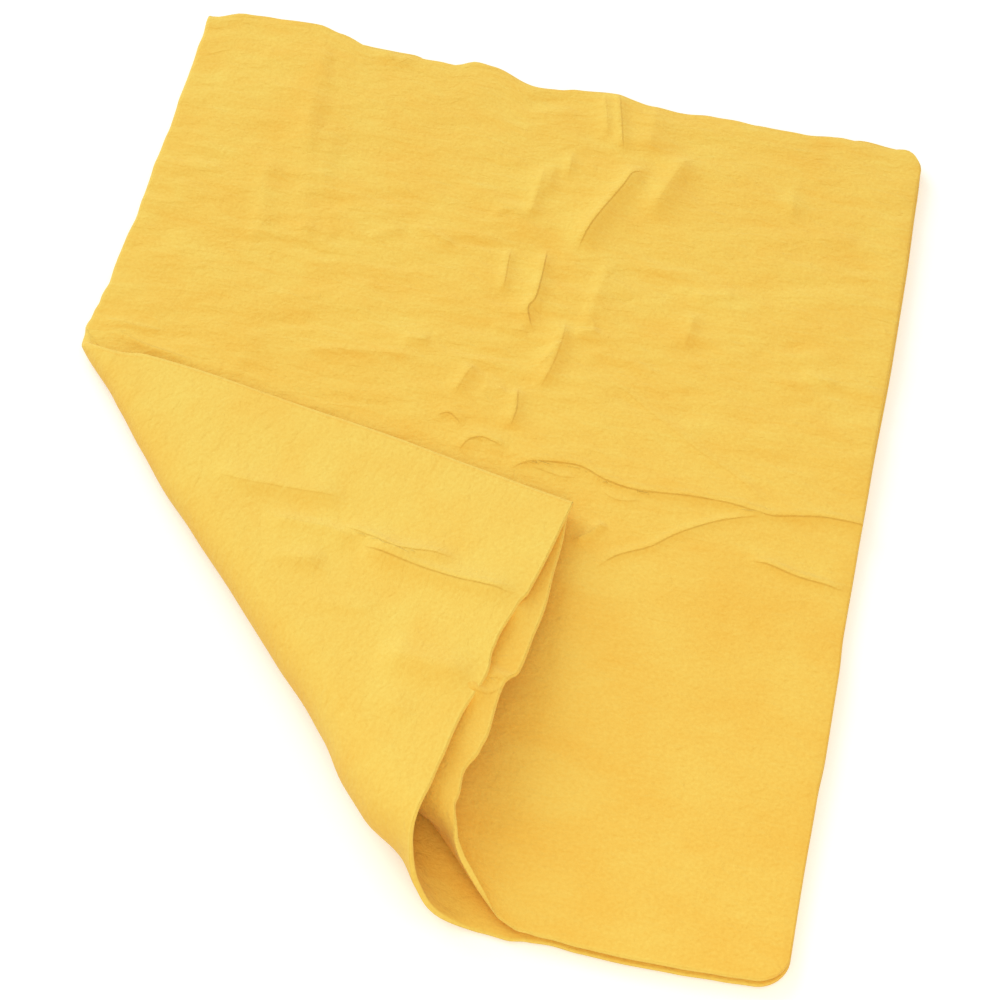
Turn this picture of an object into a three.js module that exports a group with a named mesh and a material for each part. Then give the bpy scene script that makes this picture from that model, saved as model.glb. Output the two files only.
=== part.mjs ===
// A drying cloth: one soft sheet folded in half along its left side and laid flat, with the lower
// left corner of both layers turned over in a loose roll that widens towards the bottom edge.
// Millimetres, Z up. Each panel between two bends of the sheet is a solid of its own.
import * as THREE from 'three';
import { mergeVertices } from 'three/addons/utils/BufferGeometryUtils.js';

// The sheet, laid open
const SHEET_WIDTH = 664;
const SHEET_LENGTH = 410;
const THICKNESS = 2;
const FREE_CORNER_RADIUS = 9;

// Air between layers that lie on each other, and between neighbouring panels of one layer
const LAYER_GAP = 0.3;
const SEAM_GAP = 0.3;

// The turned corner: where its fold line starts on the half fold and ends on the bottom edge, both
// measured from the sheet's lower left corner
const TURN_ON_FOLD = 230;
const TURN_ON_EDGE = 219;
// Free radius inside the roll at the half fold and at its open mouth
const FOLD_CORE_RADIUS = 0.5;
const MOUTH_CORE_RADIUS = 7.8;
// Free height under the turned corner's tip
const TIP_CLEARANCE = 3.4;
// The roll bends along this many lines, and is rigid between them
const ROLL_BENDS = 5;

// The inner layer hangs loose in the outer one, more and more from the half fold to the mouth: how
// far it sags from the outer layer there, how far it stands back from the fold line, after what turn
// of the roll it is loose in full, and how far this dies out on the laid and on the turned side
const MOUTH_SAG = 4.4;
const MOUTH_SHIFT = 14;
const LOOSE_TURN_DEGREES = 66;
const LOOSE_SPREAD_LAID = 19;
const LOOSE_SPREAD_TURNED = 58;
// The inner layer's slack shows as a strip beyond the outer layer's free edge, which grows from the
// tip over one length and dies out at the roll over another
const INNER_SLACK = 9.6;
const SLACK_RISE = 56;
const SLACK_FADE = 166;

// The free side of the front half lifts along a line this far clear of all that is turned over
const LIFT_CLEARANCE = 8;

// Fineness of the solids
const CORNER_STEPS = 6;
const STRIP_STEPS = 4;
const RULING_ROWS = 14;
const SPREAD_STEPS = 6;
const BEND_STEPS = 8;
// Points closer than this are one point, and a value found by halving is halved this often
const MERGE_WITHIN = 1e-4;
const HALVINGS = 50;

const LAYER_PITCH = THICKNESS + LAYER_GAP;
const STACK = THICKNESS + LAYER_PITCH;
const HALF_FOLD_RADIUS = STACK / 2;
const HALF_WIDTH = (SHEET_WIDTH - Math.PI * LAYER_PITCH / 2) / 2 - SEAM_GAP;

// The roll is a cone about an axis above the fold line. Its outer face touches the ground along the
// fold line, and all its straight lines meet in the apex, past the half fold.
const ROLL_RADIUS_FOLD = STACK + FOLD_CORE_RADIUS;
const ROLL_RADIUS_MOUTH = STACK + MOUTH_SAG + MOUTH_CORE_RADIUS;
const TURN_LENGTH = Math.hypot(TURN_ON_FOLD, TURN_ON_EDGE);
const LAID_ANGLE = Math.atan2(TURN_ON_EDGE, TURN_ON_FOLD);
const TAPER = Math.asin((ROLL_RADIUS_MOUTH - ROLL_RADIUS_FOLD) / TURN_LENGTH);
const APEX_REACH = ROLL_RADIUS_FOLD / Math.sin(TAPER);
const MOUTH_DISTANCE = APEX_REACH + TURN_LENGTH;

const UP = new THREE.Vector3(0, 0, 1);
const FOLD_LINE = new THREE.Vector3(Math.sin(LAID_ANGLE), -Math.cos(LAID_ANGLE), 0);
const INWARD = new THREE.Vector3(Math.cos(LAID_ANGLE), Math.sin(LAID_ANGLE), 0);
const APEX = new THREE.Vector3(0, TURN_ON_FOLD, 0).addScaledVector(FOLD_LINE, -APEX_REACH);
const AXIS = FOLD_LINE.clone().multiplyScalar(Math.cos(TAPER)).addScaledVector(UP, Math.sin(TAPER));
const AXIS_UP = UP.clone().multiplyScalar(Math.cos(TAPER)).addScaledVector(FOLD_LINE, -Math.sin(TAPER));

// Straight line of the cone after a turn about its axis, and the way the sheet runs on across it
function ruling(turn) {
  return AXIS.clone().multiplyScalar(Math.cos(TAPER))
    .addScaledVector(AXIS_UP, -Math.sin(TAPER) * Math.cos(turn))
    .addScaledVector(INWARD, -Math.sin(TAPER) * Math.sin(turn));
}

function across(turn) {
  return AXIS_UP.clone().multiplyScalar(Math.sin(turn)).addScaledVector(INWARD, -Math.cos(turn));
}

// A point of the sheet seen from the apex: its distance, and its angle from the half fold
function fromApex(x, y) {
  const aside = x - APEX.x;
  const along = APEX.y - y;
  return { distance: Math.hypot(aside, along), angle: Math.atan2(aside, along) };
}

// Where a point of the flat sheet lies when its corner is turned by fullTurn, at a depth behind the
// sheet's outer face
function place(x, y, depth, fullTurn) {
  const { distance, angle } = fromApex(x, y);
  const wound = (LAID_ANGLE - angle) / Math.sin(TAPER);
  const turn = THREE.MathUtils.clamp(wound, 0, fullTurn);
  const past = (wound - turn) * Math.sin(TAPER);
  const line = ruling(turn);
  const side = across(turn);
  const inner = new THREE.Vector3().crossVectors(side, line);
  return APEX.clone()
    .addScaledVector(line, distance * Math.cos(past))
    .addScaledVector(side, distance * Math.sin(past))
    .addScaledVector(inner, depth);
}

// The turn that sets the corner's tip down to its clearance, found by halving: the tip comes down as
// the turn grows
function settledTurn() {
  const tipHeight = 2 * STACK + TIP_CLEARANCE;
  let least = Math.PI / 2;
  let most = 3 * Math.PI / 2;
  for (let step = 0; step < HALVINGS; step += 1) {
    const middle = (least + most) / 2;
    if (place(0, 0, 0, middle).z > tipHeight) {
      least = middle;
    } else {
      most = middle;
    }
  }
  return (least + most) / 2;
}

const FULL_TURN = settledTurn();
const BEND_TURN = FULL_TURN / ROLL_BENDS;
const TIP = place(0, 0, 0, FULL_TURN);
const TURNED_ANGLE = LAID_ANGLE - FULL_TURN * Math.sin(TAPER);
const LOOSE_ANGLE = LAID_ANGLE - THREE.MathUtils.degToRad(LOOSE_TURN_DEGREES) * Math.sin(TAPER);
const LOOSE_WIDTH = LOOSE_SPREAD_LAID + (LAID_ANGLE - LOOSE_ANGLE) * MOUTH_DISTANCE;
const LOOSE_ON_EDGE = TURN_ON_EDGE + LOOSE_SPREAD_LAID / Math.cos(LAID_ANGLE);
const LIFT_LINE = Math.max(TIP.x + INNER_SLACK, LOOSE_ON_EDGE) + LIFT_CLEARANCE;

const smooth = (value) => THREE.MathUtils.smoothstep(value, 0, 1);

// Where the two layers' faces lie, at a depth within the layer
function outerPoint(x, y, depth) {
  return place(x, y, depth, FULL_TURN);
}

function innerPoint(x, y, depth) {
  const { distance, angle } = fromApex(x, y);
  const along = x / Math.sin(angle) / TURN_LENGTH;
  const laid = smooth(1 - distance * Math.max(angle - LOOSE_ANGLE, 0) / LOOSE_WIDTH);
  const turned = smooth(1 - distance * Math.max(TURNED_ANGLE - angle, 0) / LOOSE_SPREAD_TURNED);
  const loose = along * laid * turned;
  return place(x, y, LAYER_PITCH + MOUTH_SAG * loose + depth, FULL_TURN)
    .addScaledVector(INWARD, MOUTH_SHIFT * loose);
}

// How far the two layers reach past the sheet's bottom edge
function outerReach() {
  return 0;
}

function innerReach(x) {
  const fade = smooth((TURN_ON_EDGE - x) / SLACK_FADE);
  return INNER_SLACK * smooth(x / SLACK_RISE) * fade;
}

const OUTER = { point: outerPoint, reach: outerReach, rows: 1 };
const INNER = { point: innerPoint, reach: innerReach, rows: RULING_ROWS };

// Where a straight line of the roll crosses the sheet's bottom edge
function edgeCrossing(turn) {
  return APEX.x + APEX.y * Math.tan(LAID_ANGLE - turn * Math.sin(TAPER));
}

// Bottom-edge columns of a panel that runs from one turn of the roll to another. A column at a bend
// is set off to one side by half a seam.
function rollColumns(fromTurn, toTurn, offFrom, offTo) {
  const columns = [];
  for (let step = 0; step <= STRIP_STEPS; step += 1) {
    const turn = THREE.MathUtils.lerp(fromTurn, toTurn, step / STRIP_STEPS);
    const ends = step === 0 ? offFrom : step === STRIP_STEPS ? offTo : 0;
    columns.push({ x: edgeCrossing(turn), y: 0, aside: ends * SEAM_GAP / 2 });
  }
  return columns;
}

function edgeColumns(fromX, toX, steps) {
  const columns = [];
  for (let step = 1; step <= steps; step += 1) {
    columns.push({ x: THREE.MathUtils.lerp(fromX, toX, step / steps), y: 0, aside: 0 });
  }
  return columns;
}

function cornerColumns(right, bottom) {
  const columns = [];
  const centreX = right - FREE_CORNER_RADIUS;
  const centreY = bottom ? FREE_CORNER_RADIUS : SHEET_LENGTH - FREE_CORNER_RADIUS;
  for (let step = 0; step <= CORNER_STEPS; step += 1) {
    const angle = (step / CORNER_STEPS - (bottom ? 1 : 0)) * Math.PI / 2;
    columns.push({
      x: centreX + FREE_CORNER_RADIUS * Math.cos(angle),
      y: centreY + FREE_CORNER_RADIUS * Math.sin(angle),
      aside: 0,
    });
  }
  return columns;
}

// Sheet point on a column, from the half fold at share 0 to the outline at share 1
function columnPoint(column, share, reach) {
  const towards = fromApex(column.x, column.y);
  const start = -APEX.x / Math.sin(towards.angle);
  const past = column.y === 0 ? towards.distance * reach(column.x) / APEX.y : 0;
  const distance = THREE.MathUtils.lerp(start, towards.distance + past, share);
  return {
    x: APEX.x + distance * Math.sin(towards.angle) + column.aside * Math.cos(towards.angle),
    y: APEX.y - distance * Math.cos(towards.angle) + column.aside * Math.sin(towards.angle),
  };
}

// Sheet point where a column's line, carried on, lies some way out past the half fold. A column at
// one of the sheet's own corners keeps to the edge there.
function foldPoint(column, out) {
  if (column.x === 0) {
    return { x: -out, y: column.y };
  }
  const { angle } = fromApex(column.x, column.y);
  return { x: -out, y: APEX.y + (APEX.x + out) / Math.tan(angle) + column.aside / Math.sin(angle) };
}

// Closed solid from a list of points and triangles; shared points are merged and triangles that
// fall together to a line are dropped
function closedGeometry(points, triangles) {
  const geometry = new THREE.BufferGeometry().setFromPoints(points);
  geometry.setIndex(triangles.flat());
  const merged = mergeVertices(geometry, MERGE_WITHIN);
  const index = merged.index.array;
  const kept = [];
  for (let at = 0; at < index.length; at += 3) {
    const [a, b, c] = [index[at], index[at + 1], index[at + 2]];
    if (a !== b && b !== c && c !== a) {
      kept.push(a, b, c);
    }
  }
  merged.setIndex(kept);
  merged.computeVertexNormals();
  return merged;
}

// A panel of one layer: a slab between the layer's two faces, over columns that run from the half
// fold to the outline
function panel(columns, layer) {
  const points = [];
  const width = layer.rows + 1;
  const face = columns.length * width;
  for (const thickness of [0, THICKNESS]) {
    for (const column of columns) {
      for (let row = 0; row <= layer.rows; row += 1) {
        const at = columnPoint(column, row / layer.rows, layer.reach);
        points.push(layer.point(at.x, at.y, thickness));
      }
    }
  }
  const triangles = [];
  const quad = (a, b, c, d) => triangles.push([a, b, c], [a, c, d]);
  for (let column = 0; column + 1 < columns.length; column += 1) {
    const near = column * width;
    const far = near + width;
    for (let row = 0; row < layer.rows; row += 1) {
      quad(near + row, far + row, far + row + 1, near + row + 1);
      quad(face + near + row, face + near + row + 1, face + far + row + 1, face + far + row);
    }
    quad(near, face + near, face + far, far);
    quad(near + layer.rows, far + layer.rows, face + far + layer.rows, face + near + layer.rows);
  }
  const last = face - width;
  for (let row = 0; row < layer.rows; row += 1) {
    quad(row, row + 1, face + row + 1, face + row);
    quad(last + row, face + last + row, face + last + row + 1, last + row + 1);
  }
  return closedGeometry(points, triangles);
}

// The half fold over some columns: a half tube that joins the two layers. Its sections lie on the
// columns' lines, carried on past the half fold.
function halfFoldBend(columns) {
  const profile = [];
  for (const radius of [HALF_FOLD_RADIUS, LAYER_GAP / 2]) {
    for (let step = 0; step <= BEND_STEPS; step += 1) {
      const share = radius === HALF_FOLD_RADIUS ? step / BEND_STEPS : 1 - step / BEND_STEPS;
      const angle = (0.5 - share) * Math.PI;
      profile.push([SEAM_GAP + radius * Math.cos(angle), HALF_FOLD_RADIUS + radius * Math.sin(angle)]);
    }
  }
  const points = [];
  for (const column of columns) {
    for (const [out, depth] of profile) {
      const at = foldPoint(column, out);
      points.push(place(at.x, at.y, depth, FULL_TURN));
    }
  }
  const count = profile.length;
  const last = (columns.length - 1) * count;
  const outline = profile.map(([out, depth]) => new THREE.Vector2(-out, depth));
  const triangles = [];
  for (const [a, b, c] of THREE.ShapeUtils.triangulateShape(outline, [])) {
    triangles.push([a, b, c], [last + c, last + b, last + a]);
  }
  for (let column = 0; column < last; column += count) {
    for (let step = 0; step < count; step += 1) {
      const near = column + step;
      const next = column + (step + 1) % count;
      triangles.push([next, near, count + near], [next, count + near, count + next]);
    }
  }
  return closedGeometry(points, triangles);
}

// The front half's free side: a flat strip with the sheet's two free corners
function freeSide() {
  const left = LIFT_LINE + SEAM_GAP / 2;
  const radius = FREE_CORNER_RADIUS;
  const shape = new THREE.Shape();
  shape.moveTo(left, 0);
  shape.lineTo(HALF_WIDTH - radius, 0);
  shape.absarc(HALF_WIDTH - radius, radius, radius, -Math.PI / 2, 0, false);
  shape.absarc(HALF_WIDTH - radius, SHEET_LENGTH - radius, radius, 0, Math.PI / 2, false);
  shape.lineTo(left, SHEET_LENGTH);
  const geometry = new THREE.ExtrudeGeometry(shape, {
    depth: THICKNESS,
    bevelEnabled: false,
    curveSegments: CORNER_STEPS,
  });
  return geometry.translate(0, 0, LAYER_PITCH);
}

// The sheet's corners at the two ends of the half fold
const topCorner = { x: 0, y: SHEET_LENGTH, aside: 0 };
const tipCorner = { x: 0, y: 0, aside: 0 };

// The half strips of the roll next to the laid panels and next to the turned corner
function laidRollColumns() {
  return rollColumns(BEND_TURN / 2, 0, 1, 0);
}

function turnedRollColumns() {
  return rollColumns(FULL_TURN, FULL_TURN - BEND_TURN / 2, 0, -1);
}

// Columns of the panels that lie flat, from the roll's first bend to the sheet's top left corner
function laidBackColumns() {
  return [
    ...laidRollColumns(),
    ...cornerColumns(HALF_WIDTH, true),
    ...cornerColumns(HALF_WIDTH, false),
    topCorner,
  ];
}

function laidFrontColumns() {
  const right = LIFT_LINE - SEAM_GAP / 2;
  return [
    ...laidRollColumns(),
    ...edgeColumns(TURN_ON_EDGE, LOOSE_ON_EDGE, SPREAD_STEPS),
    { x: right, y: 0, aside: 0 },
    { x: right, y: SHEET_LENGTH, aside: 0 },
    topCorner,
  ];
}

// Columns of the turned corner, from its tip to the roll's last bend
function turnedColumns(steps) {
  return [tipCorner, ...edgeColumns(0, edgeCrossing(FULL_TURN), steps), ...turnedRollColumns().slice(1)];
}

// Columns of one strip of the roll, between two of its bends
function stripColumns(strip) {
  const centre = strip * BEND_TURN;
  return rollColumns(centre + BEND_TURN / 2, centre - BEND_TURN / 2, 1, -1);
}

function yellowSponge() {
  return new THREE.MeshStandardMaterial({ color: 0xf7ca5d, roughness: 0.95, metalness: 0 });
}

const cloth = new THREE.Group();

function add(name, geometry) {
  const mesh = new THREE.Mesh(geometry, yellowSponge());
  mesh.name = name;
  cloth.add(mesh);
}

add('back_half', panel(laidBackColumns(), OUTER));
add('front_half', panel(laidFrontColumns(), INNER));
add('front_half_free_side', freeSide());
add('half_fold', halfFoldBend([...laidRollColumns(), topCorner]));
for (let strip = 1; strip < ROLL_BENDS; strip += 1) {
  const columns = stripColumns(strip);
  add(`roll_outer_layer_${strip}`, panel(columns, OUTER));
  add(`roll_inner_layer_${strip}`, panel(columns, INNER));
  add(`roll_half_fold_${strip}`, halfFoldBend(columns));
}
add('turned_corner_outer_layer', panel(turnedColumns(1), OUTER));
add('turned_corner_inner_layer', panel(turnedColumns(2 * SPREAD_STEPS), INNER));
add('turned_corner_half_fold', halfFoldBend([tipCorner, ...turnedRollColumns()]));

// The origin is under the middle of the folded cloth
const middle = new THREE.Box3().setFromObject(cloth).getCenter(new THREE.Vector3());
cloth.position.set(-middle.x, -middle.y, 0);

export default cloth;
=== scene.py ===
"""Drying cloth: a soft sponge-like sheet, folded in half, with one corner of both layers turned over."""
import math

import bmesh
import bpy
import numpy as np
from mathutils import Matrix, Vector


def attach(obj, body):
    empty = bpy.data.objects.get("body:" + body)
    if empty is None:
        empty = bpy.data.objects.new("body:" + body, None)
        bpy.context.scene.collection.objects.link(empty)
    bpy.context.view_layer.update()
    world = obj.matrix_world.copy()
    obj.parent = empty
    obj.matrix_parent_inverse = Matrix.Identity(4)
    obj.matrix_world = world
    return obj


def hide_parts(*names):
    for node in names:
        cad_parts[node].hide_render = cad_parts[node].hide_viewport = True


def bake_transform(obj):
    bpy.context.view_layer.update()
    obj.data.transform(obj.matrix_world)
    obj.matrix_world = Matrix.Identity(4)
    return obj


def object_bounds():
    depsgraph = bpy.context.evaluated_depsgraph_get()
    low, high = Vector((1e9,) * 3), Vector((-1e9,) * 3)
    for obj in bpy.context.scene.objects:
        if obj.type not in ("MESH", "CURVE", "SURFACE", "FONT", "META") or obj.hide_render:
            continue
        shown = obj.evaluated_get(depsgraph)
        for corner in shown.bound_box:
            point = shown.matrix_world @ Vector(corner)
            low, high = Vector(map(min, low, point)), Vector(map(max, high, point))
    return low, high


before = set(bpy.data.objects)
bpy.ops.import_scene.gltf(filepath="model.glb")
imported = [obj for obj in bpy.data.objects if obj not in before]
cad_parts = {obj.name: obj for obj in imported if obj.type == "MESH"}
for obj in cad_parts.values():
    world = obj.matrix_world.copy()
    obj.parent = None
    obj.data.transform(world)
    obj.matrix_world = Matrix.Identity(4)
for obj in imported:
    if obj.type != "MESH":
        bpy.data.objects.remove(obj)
CAD_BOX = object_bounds()

bl_info = {
    "name": "Drying Cloth",
    "version": (1, 0, 0),
    "blender": (4, 5, 0),
    "location": "3D View > Sidebar > Cloth",
    "description": "A folded drying cloth with a turned corner, and a plain stage for it",
    "category": "Add Mesh",
}

MM = 0.001
TINY = 1e-6
BENDS = 5
LAID = 0
CORNER = BENDS + 1
SPONGE = "napped_sponge"
WHITE = (1.0, 1.0, 1.0, 1.0)

# Wrinkles of the front half: points on the sheet in mm from its lower left corner, height in mm, how far
# the wrinkle runs out to its left and to its right, seen along it, and how sharp its line is
FRONT_WRINKLES = [
    # the long cross crease from the turned corner to the free side
    ([(186, 196), (193, 202), (206, 205), (216, 205), (226, 201), (239, 199), (261, 201), (277, 201),
      (292, 199), (304, 201), (317, 203), (345, 203)], 1.6, 9.0, 2.2, 0.7),
    ([(194, 201), (202, 200), (208, 199), (216, 200)], 0.6, 2.5, 1.8, 0.8),
    ([(225, 197), (229, 194), (234, 193), (242, 195)], 0.6, 2.5, 1.8, 0.8),
    # the slanted crease that meets it, and the one below at the free side
    ([(228, 158), (237, 167), (249, 174), (259, 183), (275, 193), (291, 199)], 0.9, 2.2, 1.8, 1.0),
    ([(286, 177), (296, 176), (309, 173), (330, 171)], 1.5, 4.5, 1.8, 0.8),
    ([(215, 248), (225, 247), (241, 236), (260, 224), (278, 214), (291, 203)], 0.5, 2.5, 1.8, 0.7),
    # a gather beside the tip of the turned corner
    ([(218, 169), (225, 175), (230, 182)], 1.6, 2.0, 2.6, 0.3),
    # humps pushed up beside the turned corner
    ([(165, 200), (168, 207), (173, 210), (178, 209), (185, 207)], 1.1, 4.0, 3.0, 0.8),
    ([(152, 216), (158, 219), (165, 214)], 0.8, 2.6, 1.8, 1.0),
    # lengthwise wrinkles of the upper half
    ([(217, 366), (208, 364), (204, 353), (196, 332), (191, 313)], 3.6, 5.5, 6.0, 0.35),
    ([(230, 383), (225, 366), (218, 338)], 3.1, 6.0, 7.0, 0.05),
    ([(179, 315), (180, 300), (180, 285), (178, 278), (183, 266)], 2.1, 3.0, 4.5, 0.6),
    ([(164, 311), (165, 297), (166, 284)], 1.4, 2.4, 3.4, 0.4),
    ([(179, 371), (180, 363), (180, 354)], 1.3, 2.4, 4.0, 0.2),
    ([(169, 362), (169, 342), (168, 324)], 1.8, 3.2, 4.4, 0.1),
    ([(173, 363), (173, 353), (174, 343)], 1.0, 2.4, 3.4, 0.1),
    ([(195, 278), (195, 262), (193, 247), (190, 237)], 2.3, 3.4, 5.0, 0.25),
    ([(195, 265), (192, 257), (188, 250)], 1.3, 2.6, 3.4, 0.25),
    ([(182, 239), (184, 226), (183, 216)], 1.8, 3.0, 4.5, 0.4),
    ([(163, 246), (160, 237), (158, 228)], 2.1, 3.4, 4.0, 0.15),
    ([(207, 317), (205, 297), (203, 277), (200, 270)], 1.3, 7.0, 3.0, 0.2),
    ([(247, 295), (246, 281), (245, 272)], 1.2, 3.0, 6.0, 0.1),
    ([(277, 377), (278, 362), (279, 351)], 0.9, 3.0, 5.0, 0.05),
    ([(47, 338), (50, 314), (52, 292)], 1.3, 5.0, 2.6, 0.2),
    ([(58, 305), (54, 296), (52, 287)], 1.0, 2.6, 3.4, 0.2),
    ([(57, 372), (64, 343), (78, 288)], 0.8, 3.0, 5.0, 0.0),
    ([(72, 363), (74, 339), (78, 316)], 1.0, 3.0, 5.0, 0.0),
    # wrinkles that run in from the top edge
    ([(192, 413), (197, 392), (201, 374)], 1.8, 3.0, 4.0, 0.35),
    ([(186, 410), (190, 394), (193, 380)], 1.3, 2.4, 4.0, 0.2),
    ([(210, 412), (211, 394), (212, 376)], 1.3, 6.0, 6.0, 0.0),
    ([(56, 404), (60, 367), (65, 340)], 1.3, 4.0, 7.0, 0.0),
    ([(82, 412), (92, 403), (98, 411)], 1.2, 3.0, 2.0, 0.3),
    # ripples across
    ([(164, 266), (173, 267), (182, 267)], 1.0, 3.2, 2.6, 0.25),
    ([(199, 270), (204, 272), (210, 275)], 0.9, 3.2, 2.6, 0.2),
    ([(119, 311), (127, 310), (142, 305)], 1.3, 3.9, 2.6, 0.2),
    ([(103, 299), (110, 305), (120, 310)], 1.0, 3.9, 2.6, 0.2),
    ([(70, 300), (81, 299), (90, 300)], 0.9, 3.9, 2.6, 0.15),
    ([(130, 252), (136, 252), (143, 253)], 1.3, 3.9, 2.6, 0.25),
    ([(89, 235), (103, 239), (124, 242), (142, 244)], 1.0, 3.4, 2.6, 0.2),
    ([(151, 325), (160, 331), (168, 326)], 0.9, 2.6, 2.6, 0.15),
    ([(243, 302), (253, 304), (263, 307)], 0.9, 3.9, 2.6, 0.1),
    ([(294, 273), (303, 270), (311, 270)], 1.0, 3.9, 2.6, 0.15),
    ([(288, 345), (299, 346), (309, 348)], 0.9, 3.9, 2.6, 0.15),
    ([(167, 234), (174, 234), (178, 237)], 0.9, 3.4, 2.6, 0.15),
    # pinched cloth where the corner turns
    ([(2, 234), (12, 231), (24, 226), (40, 222), (52, 220)], 1.1, 2.0, 2.4, 0.6),
    ([(2, 238), (15, 235), (32, 234)], 1.0, 2.0, 2.0, 0.4),
    ([(66, 216), (70, 229), (67, 243)], 0.8, 1.8, 3.0, 0.3),
]

# Wrinkles of the turned corner, likewise
CORNER_WRINKLES = [
    ([(44, 138), (44, 122), (41, 108), (38, 94), (34, 80)], 2.3, 4.5, 7.5, 0.15),
    ([(48, 79), (50, 63), (52, 53), (48, 40), (45, 28)], 2.9, 4.0, 7.0, 0.3),
    ([(56, 108), (54, 92), (52, 80), (54, 66)], 2.2, 6.0, 3.8, 0.15),
    ([(54, 69), (56, 53), (56, 28), (52, 1)], 3.4, 4.4, 7.5, 0.3),
    ([(78, 100), (72, 88), (67, 74)], 2.3, 4.0, 7.0, 0.1),
    ([(99, 42), (98, 22), (94, 2)], 3.2, 6.5, 9.0, 0.0),
    ([(88, 77), (85, 62), (80, 47)], 1.0, 4.0, 6.0, 0.0),
    ([(118, 62), (122, 40), (118, 14)], 1.8, 8.0, 9.0, 0.0),
]

# A pleat in the edge of the turned corner's inner layer, likewise
PLEAT_WRINKLES = [
    ([(90, 12), (87, 4), (83, 0)], 0.9, 1.8, 3.0, 0.9),
    ([(98, 12), (95, 4), (89, 0)], 0.7, 1.8, 3.0, 0.9),
]

# How far out a wrinkle is worked out, in widths of its wider side, and how steeply it falls off
WRINKLE_REACH = 3
WRINKLE_FALL = 1.5
# Length over which a wrinkle dies out at its ends, in mm, and the largest share of its own length
WRINKLE_FADE = 12.0
LARGEST_FADE = 0.25
# How far a crease shows beside its line, and where it fades on its gentle and on its steep side, in mm
CREASE_REACH = 6.0
GENTLE_FADE = (1.0, 4.0)
STEEP_FADE = (0.8, 1.6)
# Steps of a smooth line between two of its points
LINE_STEPS = 6

# Heights that are drawn in a row, and rows of them, for a sheet's unevenness
DRAWS = 64
# Humps of an uneven sheet: their width across it and length along it in mm, start and number of the draw
STREAK_WAVE = (24, 20, 0, 6)
EDGE_HUMPS = (8, 8, 0, 8)
# Streaks of the front half: height in mm in the lower sheet, what the upper sheet adds, and humps
STREAKS = [(0.08, 0.42, (21, 7, 0, 1)), (0.06, 0.27, (12, 5, 7, 3))]
# Soft swells of the front half and of the turned corner: height in mm, and humps
FRONT_SWELLS = [(0.45, (55, 60, 0, 2)), (0.3, (30, 26, 5, 7))]
CORNER_SWELLS = [(0.8, (50, 50, 9, 4)), (0.25, (14, 30, 0, 5))]

# How far the sheet's edges lie off their straight lines: places along the edge and offsets, in mm
TOP_EDGE = [(0, 2.0), (14, 6.8), (32, 7.4), (51, 7.2), (62, 4.6), (79, 2.2), (98, 1.8), (110, -1.2),
            (117, -1.7), (127, 2.4), (135, 1.6), (157, -5.6), (166, -5.0), (174, -3.4), (190, -1.6),
            (209, -4.3), (220, -5.3), (236, -4.4), (263, -3.2), (288, -3.5), (304, -1.2), (318, -2.6),
            (332, -2.8)]
FRONT_TOP_EDGE = [(60, 0.0), (78, -3.0), (98, -3.0), (110, 0.0), (240, 0.0), (256, -2.4), (276, -2.4),
                  (292, -0.4), (302, -2.6), (316, -2.4), (326, 0.0)]
HALF_FOLD_EDGE = [(230, 0.0), (232, 0.4), (235, 0.9), (239, 1.2), (246, 2.6), (256, 4.2), (267, 5.0),
                  (278, 5.6), (290, 6.9), (302, 6.6), (322, 6.2), (345, 6.5), (370, 5.9), (392, 5.4),
                  (412, 4.3)]
FREE_EDGE = [(0, -1.2), (46, -1.4), (80, -1.1), (97, -0.4), (133, -0.5), (151, -1.1), (189, -0.8),
             (228, -0.4), (291, 0.7), (335, 0.7), (381, 0.0), (410, -0.6)]
FRONT_FREE_EDGE = [(0, -0.2), (200, -0.2), (255, -0.9), (385, -0.9), (405, 0.0)]
BOTTOM_EDGE = [(219, -1.5), (228, -1.0), (236, 0.3), (244, 0.8), (255, 0.0), (270, -0.4), (290, 0.0),
               (306, 0.8), (320, 1.6), (332, 1.8)]
CORNER_FOLD_EDGE = [(0, 0.2), (44, -0.8), (83, -1.8), (118, -1.6), (150, -2.1), (186, -2.4), (200, -0.6),
                    (212, 0.0)]
CORNER_OUTER_EDGE = [(0, -0.7), (31, -1.1), (48, -0.8), (56, 0.9), (72, 2.0), (79, 1.7), (91, -0.5),
                     (113, 1.3), (135, 0.4), (149, -0.3), (175, 0.0)]
CORNER_INNER_EDGE = [(0, 0.0), (15, 1.2), (36, -0.4), (55, -0.6), (77, 1.2), (87, -1.2), (113, 1.1),
                     (122, 0.4), (138, -2.2), (150, 0.0), (163, 2.0), (176, 0.0), (195, 0.5), (212, 0.0)]
# How far the roll's side stands out of its even form, likewise, along the fold line from the half fold
ROLL_EDGE = [(0, 0.9), (14, 1.3), (35, 0.7), (47, 1.2), (71, 2.1), (94, 2.8), (118, 1.7), (153, 0.6),
             (188, 0.2), (210, -0.8), (225, -0.3), (247, 2.2), (262, 2.0), (283, -2.6), (296, -1.2),
             (306, 0.0), (318, -1.6)]


# What a setting of each kind says of its unit and range
LENGTH = {"unit": "LENGTH", "precision": 5}
ANGLE = {"subtype": "ANGLE"}
SHARE = {"subtype": "FACTOR", "min": 0.0, "max": 1.0}
POWER = {"unit": "POWER", "min": 0.0}
COLOUR = {"subtype": "COLOR", "min": 0.0, "max": 1.0}
POINT = {"subtype": "TRANSLATION", "unit": "LENGTH"}


def setting(kind, name, description, default):
    """A number, colour or point that a user can change."""
    make = bpy.props.FloatVectorProperty if isinstance(default, tuple) else bpy.props.FloatProperty
    return make(name=name, description=description, default=default, **kind)


def smooth(value):
    """Even step from 0 to 1."""
    value = np.clip(value, 0.0, 1.0)
    return value * value * (3.0 - 2.0 * value)


def closeness(distance, reach):
    """1 at an edge, falling evenly to 0 at a distance from it."""
    return smooth(1 - distance / reach)


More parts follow.
